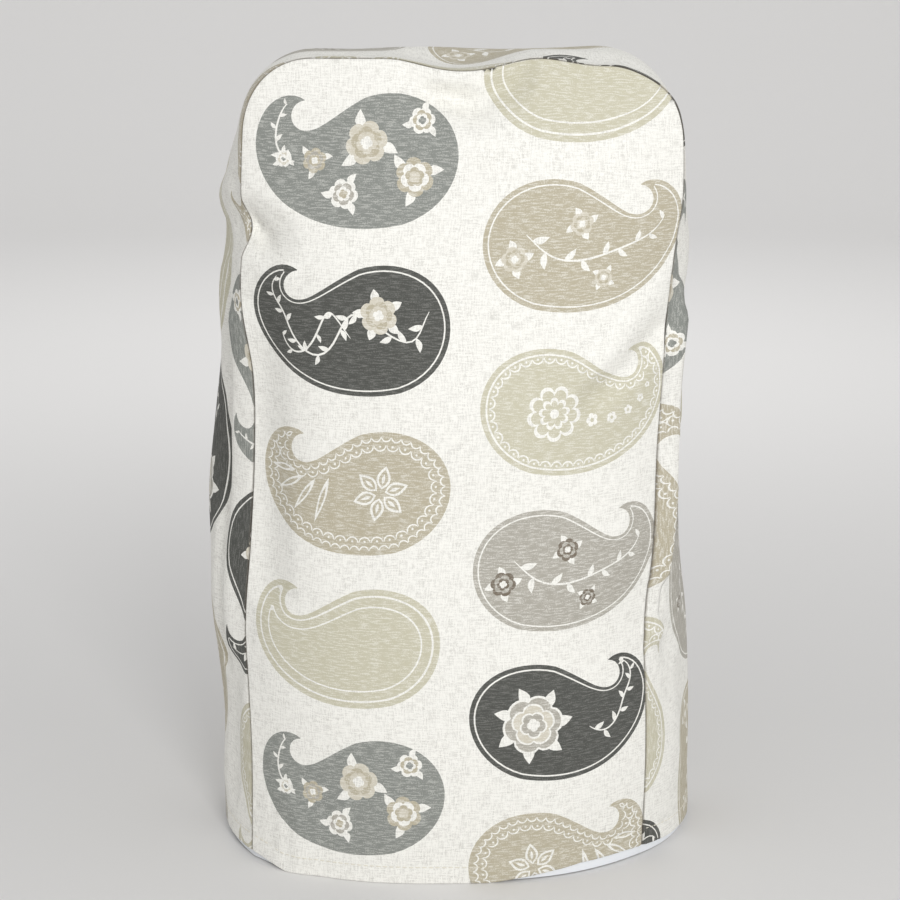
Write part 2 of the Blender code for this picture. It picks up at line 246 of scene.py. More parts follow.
# Lengths along the seam, up the left side, over the top and down the right side
SIDE_LEFT = HEIGHT - LEFT_CORNER
ARC_LEFT = LEFT_CORNER * math.pi / 2
TOP_RUN = PANEL_WIDTH - LEFT_CORNER - RIGHT_CORNER
ARC_RIGHT = RIGHT_CORNER * math.pi / 2
SIDE_RIGHT = HEIGHT - RIGHT_CORNER
ROUND = SIDE_LEFT + ARC_LEFT + TOP_RUN + ARC_RIGHT + SIDE_RIGHT


def outline(way):
    """Flat places on a panel's seam, from the way along it."""
    half = PANEL_WIDTH / 2
    up = np.clip(way, None, SIDE_LEFT)
    first = np.clip((way - SIDE_LEFT) / LEFT_CORNER, 0, math.pi / 2)
    over = np.clip(way - SIDE_LEFT - ARC_LEFT, 0, TOP_RUN)
    second = np.clip((way - SIDE_LEFT - ARC_LEFT - TOP_RUN) / RIGHT_CORNER, 0, math.pi / 2)
    down = np.clip(way - (ROUND - SIDE_RIGHT), 0, None)
    across = (-half + LEFT_CORNER * (1 - np.cos(first)) + over + RIGHT_CORNER * np.sin(second))
    height = up + LEFT_CORNER * np.sin(first) - RIGHT_CORNER * (1 - np.cos(second)) - down
    return across, height


def gusset_surface(way, across):
    """Points of the gusset without its folds, from the way along it and -1 to 1 across it."""
    seam_across, seam_height = outline(way)
    front = panel_surface("front", seam_across, seam_height)
    back = panel_surface("back", seam_across, seam_height)
    ahead = panel_surface("front", *outline(way + PROBE))
    behind = panel_surface("front", *outline(way - PROBE))
    chord = back - front
    outwards = unit(np.cross(ahead - behind, chord))
    left, right = side_bulges(seam_height)
    share = seam_across / PANEL_WIDTH + 0.5
    swell = left * (1 - share) + right * share
    turn = 2 * np.arctan(2 * swell / np.linalg.norm(chord, axis=-1))
    run = (np.sin(across * turn) / np.sin(turn))[..., None]
    rise = ((np.cos(across * turn) - np.cos(turn)) / (1 - np.cos(turn)) * swell)[..., None]
    return (front + back) / 2 + chord / 2 * run + outwards * rise


def fold_anchor(surface, place):
    """The point of a fold's start or end."""
    across, height = place
    if surface in ("front", "back"):
        return panel_surface(surface, np.array(across * PANEL_WIDTH / 2), np.array(height))
    if surface == "top":
        way = SIDE_LEFT + ARC_LEFT + TOP_RUN / 2 + height
        return gusset_surface(np.array(way), np.array(across))
    way = height if surface == "left" else ROUND - height
    return gusset_surface(np.array(way), np.array(across))


FOLD_LINES = [
    (fold_anchor(fold.surface, fold.start), fold_anchor(fold.surface, fold.end), fold)
    for fold in FOLDS + CREASES
]


def folded(points):
    """Moves points by every fold near them, each a soft trough or ridge along its line."""
    moved = points.reshape(-1, 3).copy()
    start_points = points.reshape(-1, 3)
    for start, end, fold in FOLD_LINES:
        line = end - start
        low, high = np.minimum(start, end) - fold.reach, np.maximum(start, end) + fold.reach
        near = np.flatnonzero(np.all((start_points > low) & (start_points < high), axis=-1))
        if len(near):
            part = start_points[near] - start
            along = np.clip(part @ line / (line @ line), 0, 1)[:, None]
            away = np.linalg.norm(part - along * line, axis=-1) / fold.reach
            share = np.clip(1 - away**2, 0, None)**2
            moved[near] += share[:, None] * fold.depth * np.array(INWARDS[fold.surface])
    return moved.reshape(points.shape)


def panel(side, across, height):
    return folded(panel_surface(side, across, height))


def gusset(way, across):
    return folded(gusset_surface(way, across))


def normals(surface, first, second, step_first, step_second):
    """Unit normals of a surface of two variables."""
    along = surface(first + step_first, second) - surface(first - step_first, second)
    over = surface(first, second + step_second) - surface(first, second - step_second)
    return unit(np.cross(along, over))


def panel_normals(side, across, height):
    normal = normals(lambda a, b: panel(side, a, b), across, height, PROBE, PROBE)
    return normal if side == "front" else -normal


def gusset_normals(way, across):
    return normals(gusset, way, across, PROBE, PROBE / GUSSET_WIDTH)


def hem_lift(place):
    return np.interp(place, [row.place for row in HEM], [row.lift for row in HEM])


def seam_frame(side, way):
    """At places on a seam: the way in through the cloths' corner, and the way off the gusset."""
    flat = outline(way)
    edge = np.full_like(way, -1.0 if side == "front" else 1.0)
    first = panel_normals(side, *flat)
    second = gusset_normals(way, edge)
    together = first + second
    inwards = together / (1 + np.sum(first * second, axis=-1, keepdims=True))
    tangent = gusset(way + PROBE, edge) - gusset(way - PROBE, edge)
    off = unit(np.cross(tangent, together))
    to_panel = panel(side, flat[0] * 0.9, flat[1] * 0.95 + 0.01) - panel(side, *flat)
    off *= np.sign(np.sum(off * to_panel, axis=-1, keepdims=True))
    return inwards, off * SEAM_GAP / 2


def nearest_seam(across, height):
    """Distance of flat places on a panel from its seam, and the way along it to the nearest."""
    half = PANEL_WIDTH / 2
    left_x, left_y = -half + LEFT_CORNER, HEIGHT - LEFT_CORNER
    right_x, right_y = half - RIGHT_CORNER, HEIGHT - RIGHT_CORNER
    far = np.full_like(across, 9.0)
    left = np.where(height <= left_y, across + half, far)
    right = np.where(height <= right_y, half - across, far)
    top = np.where((across >= left_x) & (across <= right_x), HEIGHT - height, far)
    in_left = (across < left_x) & (height > left_y)
    in_right = (across > right_x) & (height > right_y)
    first = np.where(in_left, LEFT_CORNER - np.hypot(across - left_x, height - left_y), far)
    second = np.where(in_right, RIGHT_CORNER - np.hypot(across - right_x, height - right_y), far)
    ways = np.stack([
        height,
        ROUND - height,
        SIDE_LEFT + ARC_LEFT + across - left_x,
        SIDE_LEFT + LEFT_CORNER * np.arctan2(height - left_y, left_x - across),
        SIDE_LEFT + ARC_LEFT + TOP_RUN + RIGHT_CORNER * np.arctan2(across - right_x, height - right_y),
    ])
    gaps = np.stack([left, right, top, first, second])
    best = np.argmin(gaps, axis=0)
    rows = np.arange(len(across))
    return gaps[best, rows], ways[best, rows]


def seam_distance(cut, flat):
    """Distance of flat places from their seam, and the way along it to the nearest place."""
    if cut == "gusset":
        return GUSSET_WIDTH / 2 - np.abs(flat[:, 1]), flat[:, 0]
    return nearest_seam(flat[:, 0], flat[:, 1])


def eased(share):
    """A soft step from 0 to 1."""
    share = np.clip(share, 0, 1)
    return share**2 * (3 - 2 * share)


def rolled(distance, radius):
    """Depth of a cloth edge that rolls in over the given radius."""
    share = np.clip(1 - distance / radius, 0, 1)
    return radius * (1 - np.sqrt(np.clip(1 - share**2, 0, 1)))


Wave = namedtuple("Wave", "length heading phase size")


def wave_set(seed, count, shortest, longest, size):
    """Waves of chosen lengths and sizes in random directions."""
    rng = random.Random(seed)
    return [
        Wave(rng.uniform(shortest, longest), rng.uniform(0, math.pi),
             rng.uniform(0, 2 * math.pi), size * rng.uniform(0.5, 1.0))
        for _ in range(count)
    ]


def waved(waves, first, second):
    """The sum of all the waves at flat places."""
    total = np.zeros_like(first)
    for wave in waves:
        along = first * math.cos(wave.heading) + second * math.sin(wave.heading)
        total += wave.size * np.sin(2 * math.pi * along / wave.length + wave.phase)
    return total


# Slack of the cloth, which starts away from seams and hem, and puckers beside the seams
SLACK = {
    "front": wave_set(11, 7, 0.055, 0.160, 0.00030),
    "back": wave_set(12, 7, 0.055, 0.160, 0.00035),
    "gusset": wave_set(13, 9, 0.050, 0.150, 0.00035),
}
SLACK_START = 0.022
SLACK_LIFT = 0.0020
SLACK_RISE = 0.030
PUCKERS = wave_set(21, 9, 0.0085, 0.0210, 0.00014)
PUCKER_START = 0.0020
PUCKER_REACH = 0.0045
HEM_UPRIGHT = 0.012


def lie(cut, flat):
    """Where flat places of a cut piece lie: points, ways in, distances from seam and from hem."""
    first, second = flat[:, 0], flat[:, 1]
    seam, way = seam_distance(cut, flat)
    if cut == "gusset":
        across = second / (GUSSET_WIDTH / 2)
        points = gusset(way, across)
        out = gusset_normals(way, across)
        height = np.minimum(way, ROUND - way)
        turn = np.where(way < ROUND / 2, 3.5 - across / 2, 1.5 + across / 2)
        sides = np.where(across < 0, "front", "back")
    else:
        across, height = first, second
        points = panel(cut, across, height)
        out = panel_normals(cut, across, height)
        place = across / PANEL_WIDTH + 0.5
        turn = place if cut == "front" else 3 - place
        sides = np.full(len(flat), cut)
    seam = np.clip(seam, 0, None)
    inwards = -out
    shift = np.zeros_like(points)
    for side in ("front", "back"):
        near = np.flatnonzero((seam < SEAM_REACH) & (sides == side))
        if len(near):
            mitre, off = seam_frame(side, way[near])
            share = (1 - seam[near] / SEAM_REACH)[:, None]
            inwards[near] = inwards[near] * (1 - share) - mitre * share
            shift[near] = (off if cut != "gusset" else -off) * share
    slack = waved(SLACK[cut], first, second) * eased(seam / SLACK_START)
    slack *= eased((height - SLACK_LIFT) / SLACK_RISE)
    pucker = waved(PUCKERS, way, 0 * way) * np.exp(-seam / PUCKER_REACH)
    pucker *= eased(seam / PUCKER_START)
    hem = height - hem_lift(turn)
    inwards[:, 2] *= eased(height / HEM_UPRIGHT)
    points = points + out * (slack + pucker)[:, None] + shift
    return points, inwards, seam, hem


def printed_depths(seam, hem):
    """Depths of both faces of the printed cloth: rolled at seams and hem, double at the hem."""
    edge = rolled(seam, SEAM_ROLL) + rolled(hem, HEM_ROLL)
    stitched = HEM_GROOVE * np.exp(-((hem - STITCH_HEIGHT) / STITCH_GROOVE)**2)
    double = 1 - eased((hem - HEM_DEPTH) / HEM_STEP)
    inner = CLOTH + (HEM_CLOTH - CLOTH) * double - rolled(hem, HEM_ROLL)
    return edge + stitched, inner


def lining_depths(seam, hem):
    """Depths of both faces of the lining, which keeps clear of the hem's doubled cloth."""
    single = eased((hem - LINING_CLEAR) / LINING_CLEAR)
    outer = HEM_CLOTH * (1 - single) + CLOTH * single
    return outer + LAYER_GAP, outer + LAYER_GAP + LINING


def spaced(start, end, step):
    """Even values from start to end, about a step apart."""
    return np.linspace(start, end, max(2, int(round(abs(end - start) / step)) + 1))


def panel_loop(rise, step):
    """Flat outline of a panel, counter-clockwise from the hem's left end."""
    across = spaced(-PANEL_WIDTH / 2, PANEL_WIDTH / 2, step)
    hem = np.stack([across, rise(across / PANEL_WIDTH + 0.5)], axis=-1)
    way = spaced(ROUND - hem[-1, 1], hem[0, 1], step)
    return np.concatenate([hem[:-1], np.stack(outline(way), axis=-1)[:-1]])


def gusset_loop(rise_left, rise_right, step):
    """Flat outline of the gusset, as way and distance from its middle, counter-clockwise."""
    half = GUSSET_WIDTH / 2
    across = spaced(-half, half, step)
    left, right = rise_left(across), ROUND - rise_right(across)
    front = spaced(left[0], right[0], step)
    back = spaced(right[-1], left[-1], step)
    return np.concatenate([
        np.stack([front, 0 * front - half], axis=-1)[:-1],
        np.stack([right, across], axis=-1)[:-1],
        np.stack([back, 0 * back + half], axis=-1)[:-1],
        np.stack([left, across], axis=-1)[:0:-1],
    ])


def inset_loop(loop, depth):
    """The outline moved inwards, for close rows along its edges."""
    ahead, behind = np.roll(loop, -1, axis=0), np.roll(loop, 1, axis=0)
    run = unit(ahead - behind)
    return loop + depth * np.stack([-run[:, 1], run[:, 0]], axis=-1)


def covered(outline_loop, places):
    """Whether a closed outline goes round each of the places."""
    ahead = np.roll(outline_loop, -1, axis=0)
    run = ahead - outline_loop
    found = []
    for start in range(0, len(places), 4000):
        x, y = places[start:start + 4000, :1], places[start:start + 4000, 1:]
        left = run[:, 0] * (y - outline_loop[:, 1]) - (x - outline_loop[:, 0]) * run[:, 1]
        rising = (outline_loop[:, 1] <= y) & (ahead[:, 1] > y) & (left > 0)
        falling = (outline_loop[:, 1] > y) & (ahead[:, 1] <= y) & (left < 0)
        found.append(np.sum(rising, axis=-1) != np.sum(falling, axis=-1))
    return np.concatenate(found)


def lattice(loop, step):
    """Even places all over a cut piece, every other row moved by half a step."""
    low, high = loop.min(axis=0), loop.max(axis=0)
    rows = np.arange(low[1] + step / 2, high[1], step * 0.866)
    places = []
    for number, y in enumerate(rows):
        x = np.arange(low[0] + step * (0.25 + 0.5 * (number % 2)), high[0], step)
        places.append(np.stack([x, 0 * x + y], axis=-1))
    return np.concatenate(places)


def triangulated(loop, shapes, rings, step):
    """Triangles of a cut piece, and for each one the number of the topmost shape over it."""
    places, edges = [], []
    count = 0
    for ring in [loop, *shapes]:
        numbers = np.arange(count, count + len(ring))
        edges.append(np.stack([numbers, np.roll(numbers, -1)], axis=-1))
        places.append(ring)
        count += len(ring)
    for depth in rings:
        places.append(inset_loop(loop, depth))
    grid = lattice(loop, step)
    places.append(grid[covered(inset_loop(loop, max(rings) + step / 2), grid)])
    flat = np.concatenate(places).tolist()
    found = delaunay_2d_cdt(flat, np.concatenate(edges).tolist(), [], 0, 1e-7, False)
    flat = np.array([tuple(place) for place in found[0]])
    triangles = np.array(found[2])
    middles = flat[triangles].mean(axis=1)
    kept = covered(loop, middles)
    triangles, middles = triangles[kept], middles[kept]
    tops = np.full(len(triangles), len(shapes))
    for number, shape in enumerate(shapes):
        low, high = shape.min(axis=0), shape.max(axis=0)
        near = np.flatnonzero(np.all((middles > low) & (middles < high), axis=-1))
        if len(near):
            tops[near[covered(shape, middles[near])]] = number
    used = np.unique(triangles)
    number = np.full(len(flat), -1)
    number[used] = np.arange(len(used))
    return flat[used], number[triangles], tops


def rim_of(triangles):
    """The vertices round the edge of a triangulation, in order."""
    ahead = {}
    for a, b, c in triangles.tolist():
        for pair in ((a, b), (b, c), (c, a)):
            ahead[pair] = True
    after = {a: b for a, b in ahead if (b, a) not in ahead}
    here = start = next(iter(after))
    rim = [start]
    while after[here] != start:
        here = after[here]
        rim.append(here)
    return rim


def faces_at(cut, flat, depths, layer):
    """Points of a cloth's outer face, layer 0, or of its inner face, layer 1."""
    points, inwards, seam, hem = lie(cut, flat)
    return points + inwards * depths(seam, hem)[layer][:, None]


def seam_shade(cut, flat):
    """How much painted shade the places get beside their seam's groove, from 0 to 1."""
    seam = seam_distance(cut, flat)[0]
    return np.exp(-(np.clip(seam, 0, None) / SEAM_SHADE_WIDTH)**2)


def face_normals(cut, flat, depths, layer):
    """Unit normals that point out of the cover, from the face just beside each place."""
    first, second = (
        faces_at(cut, flat + step, depths, layer) - faces_at(cut, flat - step, depths, layer)
        for step in np.eye(2) * NORMAL_STEP)
    normal = np.cross(first, second)
    normal /= np.linalg.norm(normal, axis=-1, keepdims=True) + 1e-15
    return -normal if cut == "back" else normal


def added(name, data):
    """A new object in the scene."""
    obj = bpy.data.objects.new(name, data)
    bpy.context.scene.collection.objects.link(obj)
    return obj


def new_mesh(name, points, faces, material):
    """A smooth mesh of one material."""
    mesh = bpy.data.meshes.new(name)
    mesh.from_pydata(points, [], faces)
    mesh.shade_smooth()
    mesh.materials.append(material)
    return mesh


def tube_faces(first, rows, wide):
    """Faces between rings of points, each ring with the given number of them."""
    faces = []
    for low in range(first, first + (rows - 1) * wide, wide):
        for k in range(wide):
            ahead = (k + 1) % wide
            faces.append((low + k, low + ahead, low + ahead + wide, low + k + wide))
    return faces


def sewn(name, cut, loop, shapes, inks, depths, rings, step, material):
    """A closed sheet of cloth from its cut outline, with the print's shapes in its outer face."""
    flat, triangles, tops = triangulated(loop, shapes, rings, step)
    rim = rim_of(triangles)
    back_flat, back_triangles, _ = triangulated(flat[rim], [], LINING_ROWS, EDGE_STEP * 2)
    matched = [int(np.argmin(np.sum((back_flat - flat[i])**2, axis=-1))) for i in rim]
    count = len(flat)
    outer = faces_at(cut, flat, depths, 0)
    inner = faces_at(cut, back_flat, depths, 1)
    normals_out = face_normals(cut, flat, depths, 0)
    normals_in = -face_normals(cut, back_flat, depths, 1)
    if cut == "back":
        triangles = triangles[:, ::-1]
        back_triangles = back_triangles[:, ::-1]
    faces = triangles.tolist() + (back_triangles[:, ::-1] + count).tolist()
    walls = []
    for i in range(len(rim)):
        j = (i + 1) % len(rim)
        here, ahead = rim[i], rim[j]
        under, under_ahead = matched[i] + count, matched[j] + count
        if cut == "back":
            walls += [(here, ahead, under_ahead), (here, under_ahead, under)]
        else:
            walls += [(ahead, here, under), (ahead, under, under_ahead)]
    points = np.concatenate([outer, inner]) - MIDDLE
    mesh = new_mesh(name, points.tolist(), faces + walls, material)
    places = mesh.attributes.new("flat", "FLOAT_VECTOR", "POINT")
    spread = np.zeros((len(points), 3))
    spread[:, :2] = np.concatenate([flat, back_flat])
    places.data.foreach_set("vector", spread.ravel())
    # Painted shade: how far into the dark seam colour each place is painted
    painted_seam_shade = mesh.attributes.new("painted_seam_shade", "FLOAT", "POINT")
    painted_seam_shade.data.foreach_set("value", seam_shade(cut, np.concatenate([flat, back_flat])))
    colours = np.empty((len(mesh.polygons), 3, 4))
    colours[:] = inks[-1]
    colours[:len(triangles)] = np.array(inks)[tops][:, None]
    ink = mesh.color_attributes.new("ink", "FLOAT_COLOR", "CORNER")
    ink.data.foreach_set("color", colours.ravel())
    mesh.normals_split_custom_set_from_vertices(np.concatenate([normals_out, normals_in]).tolist())
    return added(name, mesh)


def linear(red, green, blue):
    """A colour from its display values of 0 to 255."""
    return tuple(((c / 255 + 0.055) / 1.055)**2.4 for c in (red, green, blue)) + (1.0,)


INKS = {
    "cream": linear(247, 246, 240),
    "sage": linear(200, 196, 174),
    "grey": linear(172, 168, 158),
    "taupe": linear(184, 176, 154),
    "slate": linear(137, 140, 135),
    "charcoal": linear(80, 81, 77),
    "umber": linear(118, 108, 94),
    "stone": linear(208, 202, 186),
}
# How well each ink covers the threads
COVER = {"charcoal": 0.90, "slate": 0.70, "umber": 0.80}
COVER_OTHERS = 0.55
FLECK = linear(189, 187, 180)
# Colour of the painted shade in the seam grooves, where the seams' contact shadow falls
SEAM_SHADE_COLOUR = linear(96, 88, 78)
LINING_WHITE = linear(240, 243, 247)
LINING_SHADE = linear(216, 221, 230)
THREAD_CREAM = linear(226, 222, 208)

# The print's leaning drops: a spine from the round end to the curled tip, and half widths along it
DROP_LENGTH = 0.120
DROP_BODY = 0.030
DROP_NECK = 0.29
DROP_HEADING = 194.0
DROP_CURL = 220.0
DROP_CURL_POWER = 3.4
DROP_WAIST = 0.10
DROP_TAPER = 1.15
BAND_END = 0.35
SPINE = np.linspace(0, 1, 401)


def spine_line():
    """The spine's points, and its heading at each of them."""
    heading = np.radians(DROP_HEADING - DROP_CURL * SPINE**DROP_CURL_POWER)
    run = DROP_LENGTH / (len(SPINE) - 1) * towards(heading)
    line = np.concatenate([[(0.0, 0.0)], np.cumsum((run[1:] + run[:-1]) / 2, axis=0)])
    return line, heading


SPINE_LINE, SPINE_HEADING = spine_line()


def half_width(s, inset):
    """Half the drop's width at places along its spine, inset all round by a distance."""
    end = DROP_NECK - inset / DROP_LENGTH
    near = (DROP_BODY - inset) * np.sqrt(np.clip(1 - ((s - DROP_NECK) / end)**2, 0, 1))
    u = np.clip((s - DROP_NECK) / (1 - DROP_NECK), 0, 1)
    waist = 1 - DROP_WAIST * np.sin(math.pi * u)
    far = DROP_BODY * np.cos(math.pi / 2 * u)**DROP_TAPER * waist - inset
    return np.where(s < DROP_NECK, near, np.clip(far, 0, None))


def on_drop(s, r, inset=0.0):
    """Flat places from a place along the spine and -1 to 1 across it."""
    s, r = np.broadcast_arrays(np.asarray(s, float), np.asarray(r, float))
    x = np.interp(s, SPINE, SPINE_LINE[:, 0])
    y = np.interp(s, SPINE, SPINE_LINE[:, 1])
    heading = np.interp(s, SPINE, SPINE_HEADING)
    away = half_width(s, inset) * r
    return np.stack([x - np.sin(heading) * away, y + np.cos(heading) * away], axis=-1)


def drop_ring(inset):
    """The drop's outline, inset all round by a distance."""
    end = inset / DROP_LENGTH
    turn = np.linspace(0, math.pi / 2, 13)
    s = np.concatenate([DROP_NECK - (DROP_NECK - end) * np.cos(turn),
                        np.linspace(DROP_NECK, 0.995, 38)[1:]])
    s = s[half_width(s, inset) > 0.00005]
    s = np.concatenate([[end], s]) if s[0] > end + 1e-6 else s
    return np.concatenate([on_drop(s, 1, inset), on_drop(s[::-1][:-1], -1, inset)])


def band(line, width):
    """A drawn line: broad in its middle and narrower at its ends."""
    line = np.asarray(line, float)
    run = unit(np.gradient(line, axis=0))
    side = np.stack([-run[:, 1], run[:, 0]], axis=-1)
    share = np.sin(np.linspace(0, math.pi, len(line)))**0.5
    half = (width / 2 * (BAND_END + (1 - BAND_END) * share))[:, None]
    return np.concatenate([line + side * half, (line - side * half)[::-1]])


def leaf(root, tip, width, bend=0.0):
    """A pointed leaf from its root to its tip."""
    root, tip = np.asarray(root, float), np.asarray(tip, float)
    t = np.linspace(0, 1, 7)[:, None]
    run = tip - root
    side = np.array([-run[1], run[0]])
    middle = root + run * t + side * bend * np.sin(math.pi * t)
    half = side / np.linalg.norm(side) * width / 2 * np.sin(math.pi * t**0.85)
    return np.concatenate([middle + half, (middle - half)[::-1][1:-1]])


def dot(middle, radius, sides):
    """A small round spot."""
    turn = np.linspace(0, 2 * math.pi, sides, endpoint=False)
    return np.asarray(middle) + radius * towards(turn)


def bloom(middle, radius, petals, turn=0.0, deep=0.30):
    """A flower's outline with round petals."""
    angle = np.linspace(0, 2 * math.pi, petals * 8, endpoint=False)
    reach = radius * (1 - deep + deep * np.abs(np.sin(petals * angle / 2))**0.6)
    angle = angle + turn
    return np.asarray(middle) + reach[:, None] * towards(angle)


def arch(middle, radius, start, end, width):
    """A drawn arc."""
    turn = np.linspace(start, end, 9)
    return band(np.asarray(middle) + radius * towards(turn), width)


def outlined(ink, start, width):
    """The drop in its ink, with a thin bare line inside."""
    return [(drop_ring(0.0), ink), (drop_ring(start), "cream"), (drop_ring(start + width), ink)]


def leaves_round(middle, count, turn, near, far, width, bend=0.0):
    """Bare leaves that point away from a flower's middle."""
    leaves = []
    for k in range(count):
        way = towards(2 * math.pi * k / count + turn)
        leaves.append((leaf(middle + way * near, middle + way * far, width, bend), "cream"))
    return leaves


def rim_places(inset, first, last, step):
    """Places along both sides of the drop at an inset, with the way inwards at each."""
    ring = drop_ring(inset)
    ring = np.concatenate([ring, ring[:1]])
    run = np.linalg.norm(np.diff(ring, axis=0), axis=-1)
    along = np.concatenate([[0.0], np.cumsum(run)])
    stops = np.arange(first * along[-1], last * along[-1], step)
    places = np.stack([np.interp(stops, along, ring[:, k]) for k in (0, 1)], axis=-1)
    ahead = np.stack([np.interp(stops + 0.0004, along, ring[:, k]) for k in (0, 1)], axis=-1)
    run = unit(ahead - places)
    return places, np.stack([run[:, 1], -run[:, 0]], axis=-1)


def scalloped(inset, step, width, dots):
    """A row of small bare arcs all round inside the drop, with or without a dot in each."""
    shapes = []
    places, inwards = rim_places(inset, 0.0, 0.995, step)
    for place, way in zip(places, inwards):
        heading = math.atan2(way[1], way[0])
        shapes.append((arch(place, step * 0.46, heading - 1.5, heading + 1.5, width), "cream"))
        if dots:
            shapes.append((dot(place + way * step * 0.12, 0.00062, 6), "cream"))
    return shapes


def vine(start, end, sway, turns, leaves, size=0.0072):
    """A thin bare stem that winds along the drop, with leaves on both sides."""
    s = np.linspace(start, end, 40)
    line = on_drop(s, sway * np.sin(2 * math.pi * turns * (s - start) / (end - start)), 0.004)
    shapes = [(band(line, 0.00095), "cream")]
    stops = np.linspace(2, len(s) - 2, leaves).astype(int)
    for number, stop in enumerate(stops):
        run = line[min(stop + 1, len(line) - 1)] - line[stop - 1]
        heading = math.atan2(run[1], run[0]) + (0.95 if number % 2 else -0.95)
        reach = size * (1.0 - 0.45 * stop / len(s))
        tip = line[stop] + reach * towards(heading)
        shapes.append((leaf(line[stop], tip, reach * 0.42, 0.08), "cream"))
    return shapes


def rosette(middle, radius, petals, ink):
    """A round flower of outlined petals."""
    return [
        (bloom(middle, radius, petals, 0.0, 0.22), "cream"),
        (bloom(middle, radius * 0.86, petals, 0.0, 0.26), ink),
        (bloom(middle, radius * 0.58, petals, math.pi / petals, 0.26), "cream"),
        (bloom(middle, radius * 0.46, petals, math.pi / petals, 0.30), ink),
        (dot(middle, radius * 0.17, 10), "cream"),
    ]


def full_flower(middle, radius, tones, turn=0.0):
    """A filled flower in two tones, with a heart in a third."""
    first, second, heart = tones
    return [
        (bloom(middle, radius, 6, turn, 0.20), first),
        (bloom(middle, radius * 0.74, 5, turn + 0.5, 0.24), second),
        (bloom(middle, radius * 0.50, 5, turn + 1.1, 0.24), first),
        (bloom(middle, radius * 0.30, 4, turn + 0.3, 0.28), heart),
    ]


def scallop_drop(ink):
    """A scalloped rim, a rosette and a row of small flowers."""
    shapes = outlined(ink, 0.0024, 0.0009)
    shapes += scalloped(0.0040, 0.0058, 0.00080, True)
    shapes += rosette(on_drop(0.30, 0.0), 0.0135, 9, ink)
    for s, size in ((0.47, 0.0032), (0.56, 0.0028), (0.64, 0.0024), (0.71, 0.0020), (0.77, 0.0015)):
        shapes.append((bloom(on_drop(s, 0.0), size, 5, s * 9), "cream"))
        shapes.append((dot(on_drop(s, 0.0), size * 0.34, 6), ink))
    return shapes


def vine_drop(ink, flower, heart):
    """A winding vine round one flower."""
    shapes = outlined(ink, 0.0022, 0.0007)
    shapes += vine(0.07, 0.90, 0.42, 2.1, 17)
    shapes += vine(0.40, 0.68, -0.62, 0.9, 7, 0.0060)
    middle = on_drop(0.26, -0.22)
    shapes += leaves_round(middle, 5, 0.4, 0.006, 0.0125, 0.0042)
    shapes += full_flower(middle, 0.0088, (flower, heart, "cream"))
    return shapes


def spray_drop(ink, accent):
    """A stem with three flowers."""
    shapes = outlined(ink, 0.0022, 0.0007)
    shapes += vine(0.16, 0.80, 0.20, 1.0, 9, 0.0085)
    for s, r, size in ((0.16, 0.45, 0.0062), (0.36, -0.45, 0.0056), (0.50, 0.42, 0.0044)):
        middle = on_drop(s, r)
        shapes += leaves_round(middle, 4, s * 7, size * 0.5, size * 1.5, size * 0.62, 0.1)
        shapes += full_flower(middle, size, (accent, ink, "cream"), s * 3)
    return shapes


def plain_drop(ink):
    """Two thin lines along the rim."""
    shapes = outlined(ink, 0.0030, 0.0010)
    shapes += [(drop_ring(0.0085), "cream"), (drop_ring(0.0093), ink)]
    return shapes


def lace_drop(ink):
    """Two scalloped rims, a star of leaves and narrow leaves in the neck."""
    shapes = [(drop_ring(0.0), ink)]
    shapes += scalloped(0.0022, 0.0049, 0.00075, False)
    shapes += scalloped(0.0062, 0.0062, 0.00075, True)
    for k in range(6):
        turn = 2 * math.pi * k / 6 + 0.2
        way = np.array([math.cos(turn), math.sin(turn)])
        root, tip = on_drop(0.28, 0.0) + way * 0.0022, on_drop(0.28, 0.0) + way * 0.0140
        shapes.append((leaf(root, tip, 0.0068), "cream"))
        shapes.append((leaf(root + way * 0.0012, tip - way * 0.0018, 0.0044), ink))
        shapes.append((leaf(root + way * 0.0026, tip - way * 0.0040, 0.0016), "cream"))
    for s in (0.50, 0.58, 0.66, 0.73):
        root, tip = on_drop(s, -0.50), on_drop(s + 0.05, 0.50)
        shapes.append((leaf(root, tip, 0.0036), "cream"))
        shapes.append((leaf(root * 0.8 + tip * 0.2, root * 0.2 + tip * 0.8, 0.0018), ink))
    return shapes


def blooms_drop(ink, first, second, third):
    """Six flowers of two tones, and a vine in the tip."""
    shapes = [(drop_ring(0.0), ink)]
    for s, r, size, tones in (
            (0.20, 0.40, 0.0090, (first, "cream", second)),
            (0.34, -0.36, 0.0100, (second, first, "cream")),
            (0.10, -0.48, 0.0062, ("cream", first, ink)),
            (0.46, 0.40, 0.0070, ("cream", third, first)),
            (0.58, -0.20, 0.0058, (first, third, "cream")),
            (0.70, 0.15, 0.0040, ("cream", second, ink))):
        middle = on_drop(s, r)
        shapes += leaves_round(middle, 3, s * 11, size * 0.6, size * 1.55, size * 0.5, 0.12)
        shapes += full_flower(middle, size, tones, s * 5)
    shapes += vine(0.66, 0.92, 0.2, 0.8, 6, 0.0056)
    return shapes


def big_bloom_drop(ink, first, second):
    """One large flower, and a vine in the neck."""
    shapes = outlined(ink, 0.0022, 0.0008)
    middle = on_drop(0.27, 0.05)
    shapes += leaves_round(middle, 7, 0.2, 0.010, 0.0205, 0.0058, 0.08)
    shapes += [
        (bloom(middle, 0.0155, 6, 0.2, 0.16), "cream"),
        (bloom(middle, 0.0143, 6, 0.2, 0.18), first),
        (bloom(middle, 0.0112, 5, 0.8, 0.20), "cream"),
        (bloom(middle, 0.0102, 5, 0.8, 0.22), second),
        (bloom(middle, 0.0072, 5, 0.1, 0.22), "cream"),
        (bloom(middle, 0.0062, 5, 0.1, 0.24), first),
        (bloom(middle, 0.0034, 4, 0.5, 0.26), "cream"),
    ]
    shapes += vine(0.52, 0.92, 0.28, 1.2, 9, 0.0066)
    return shapes


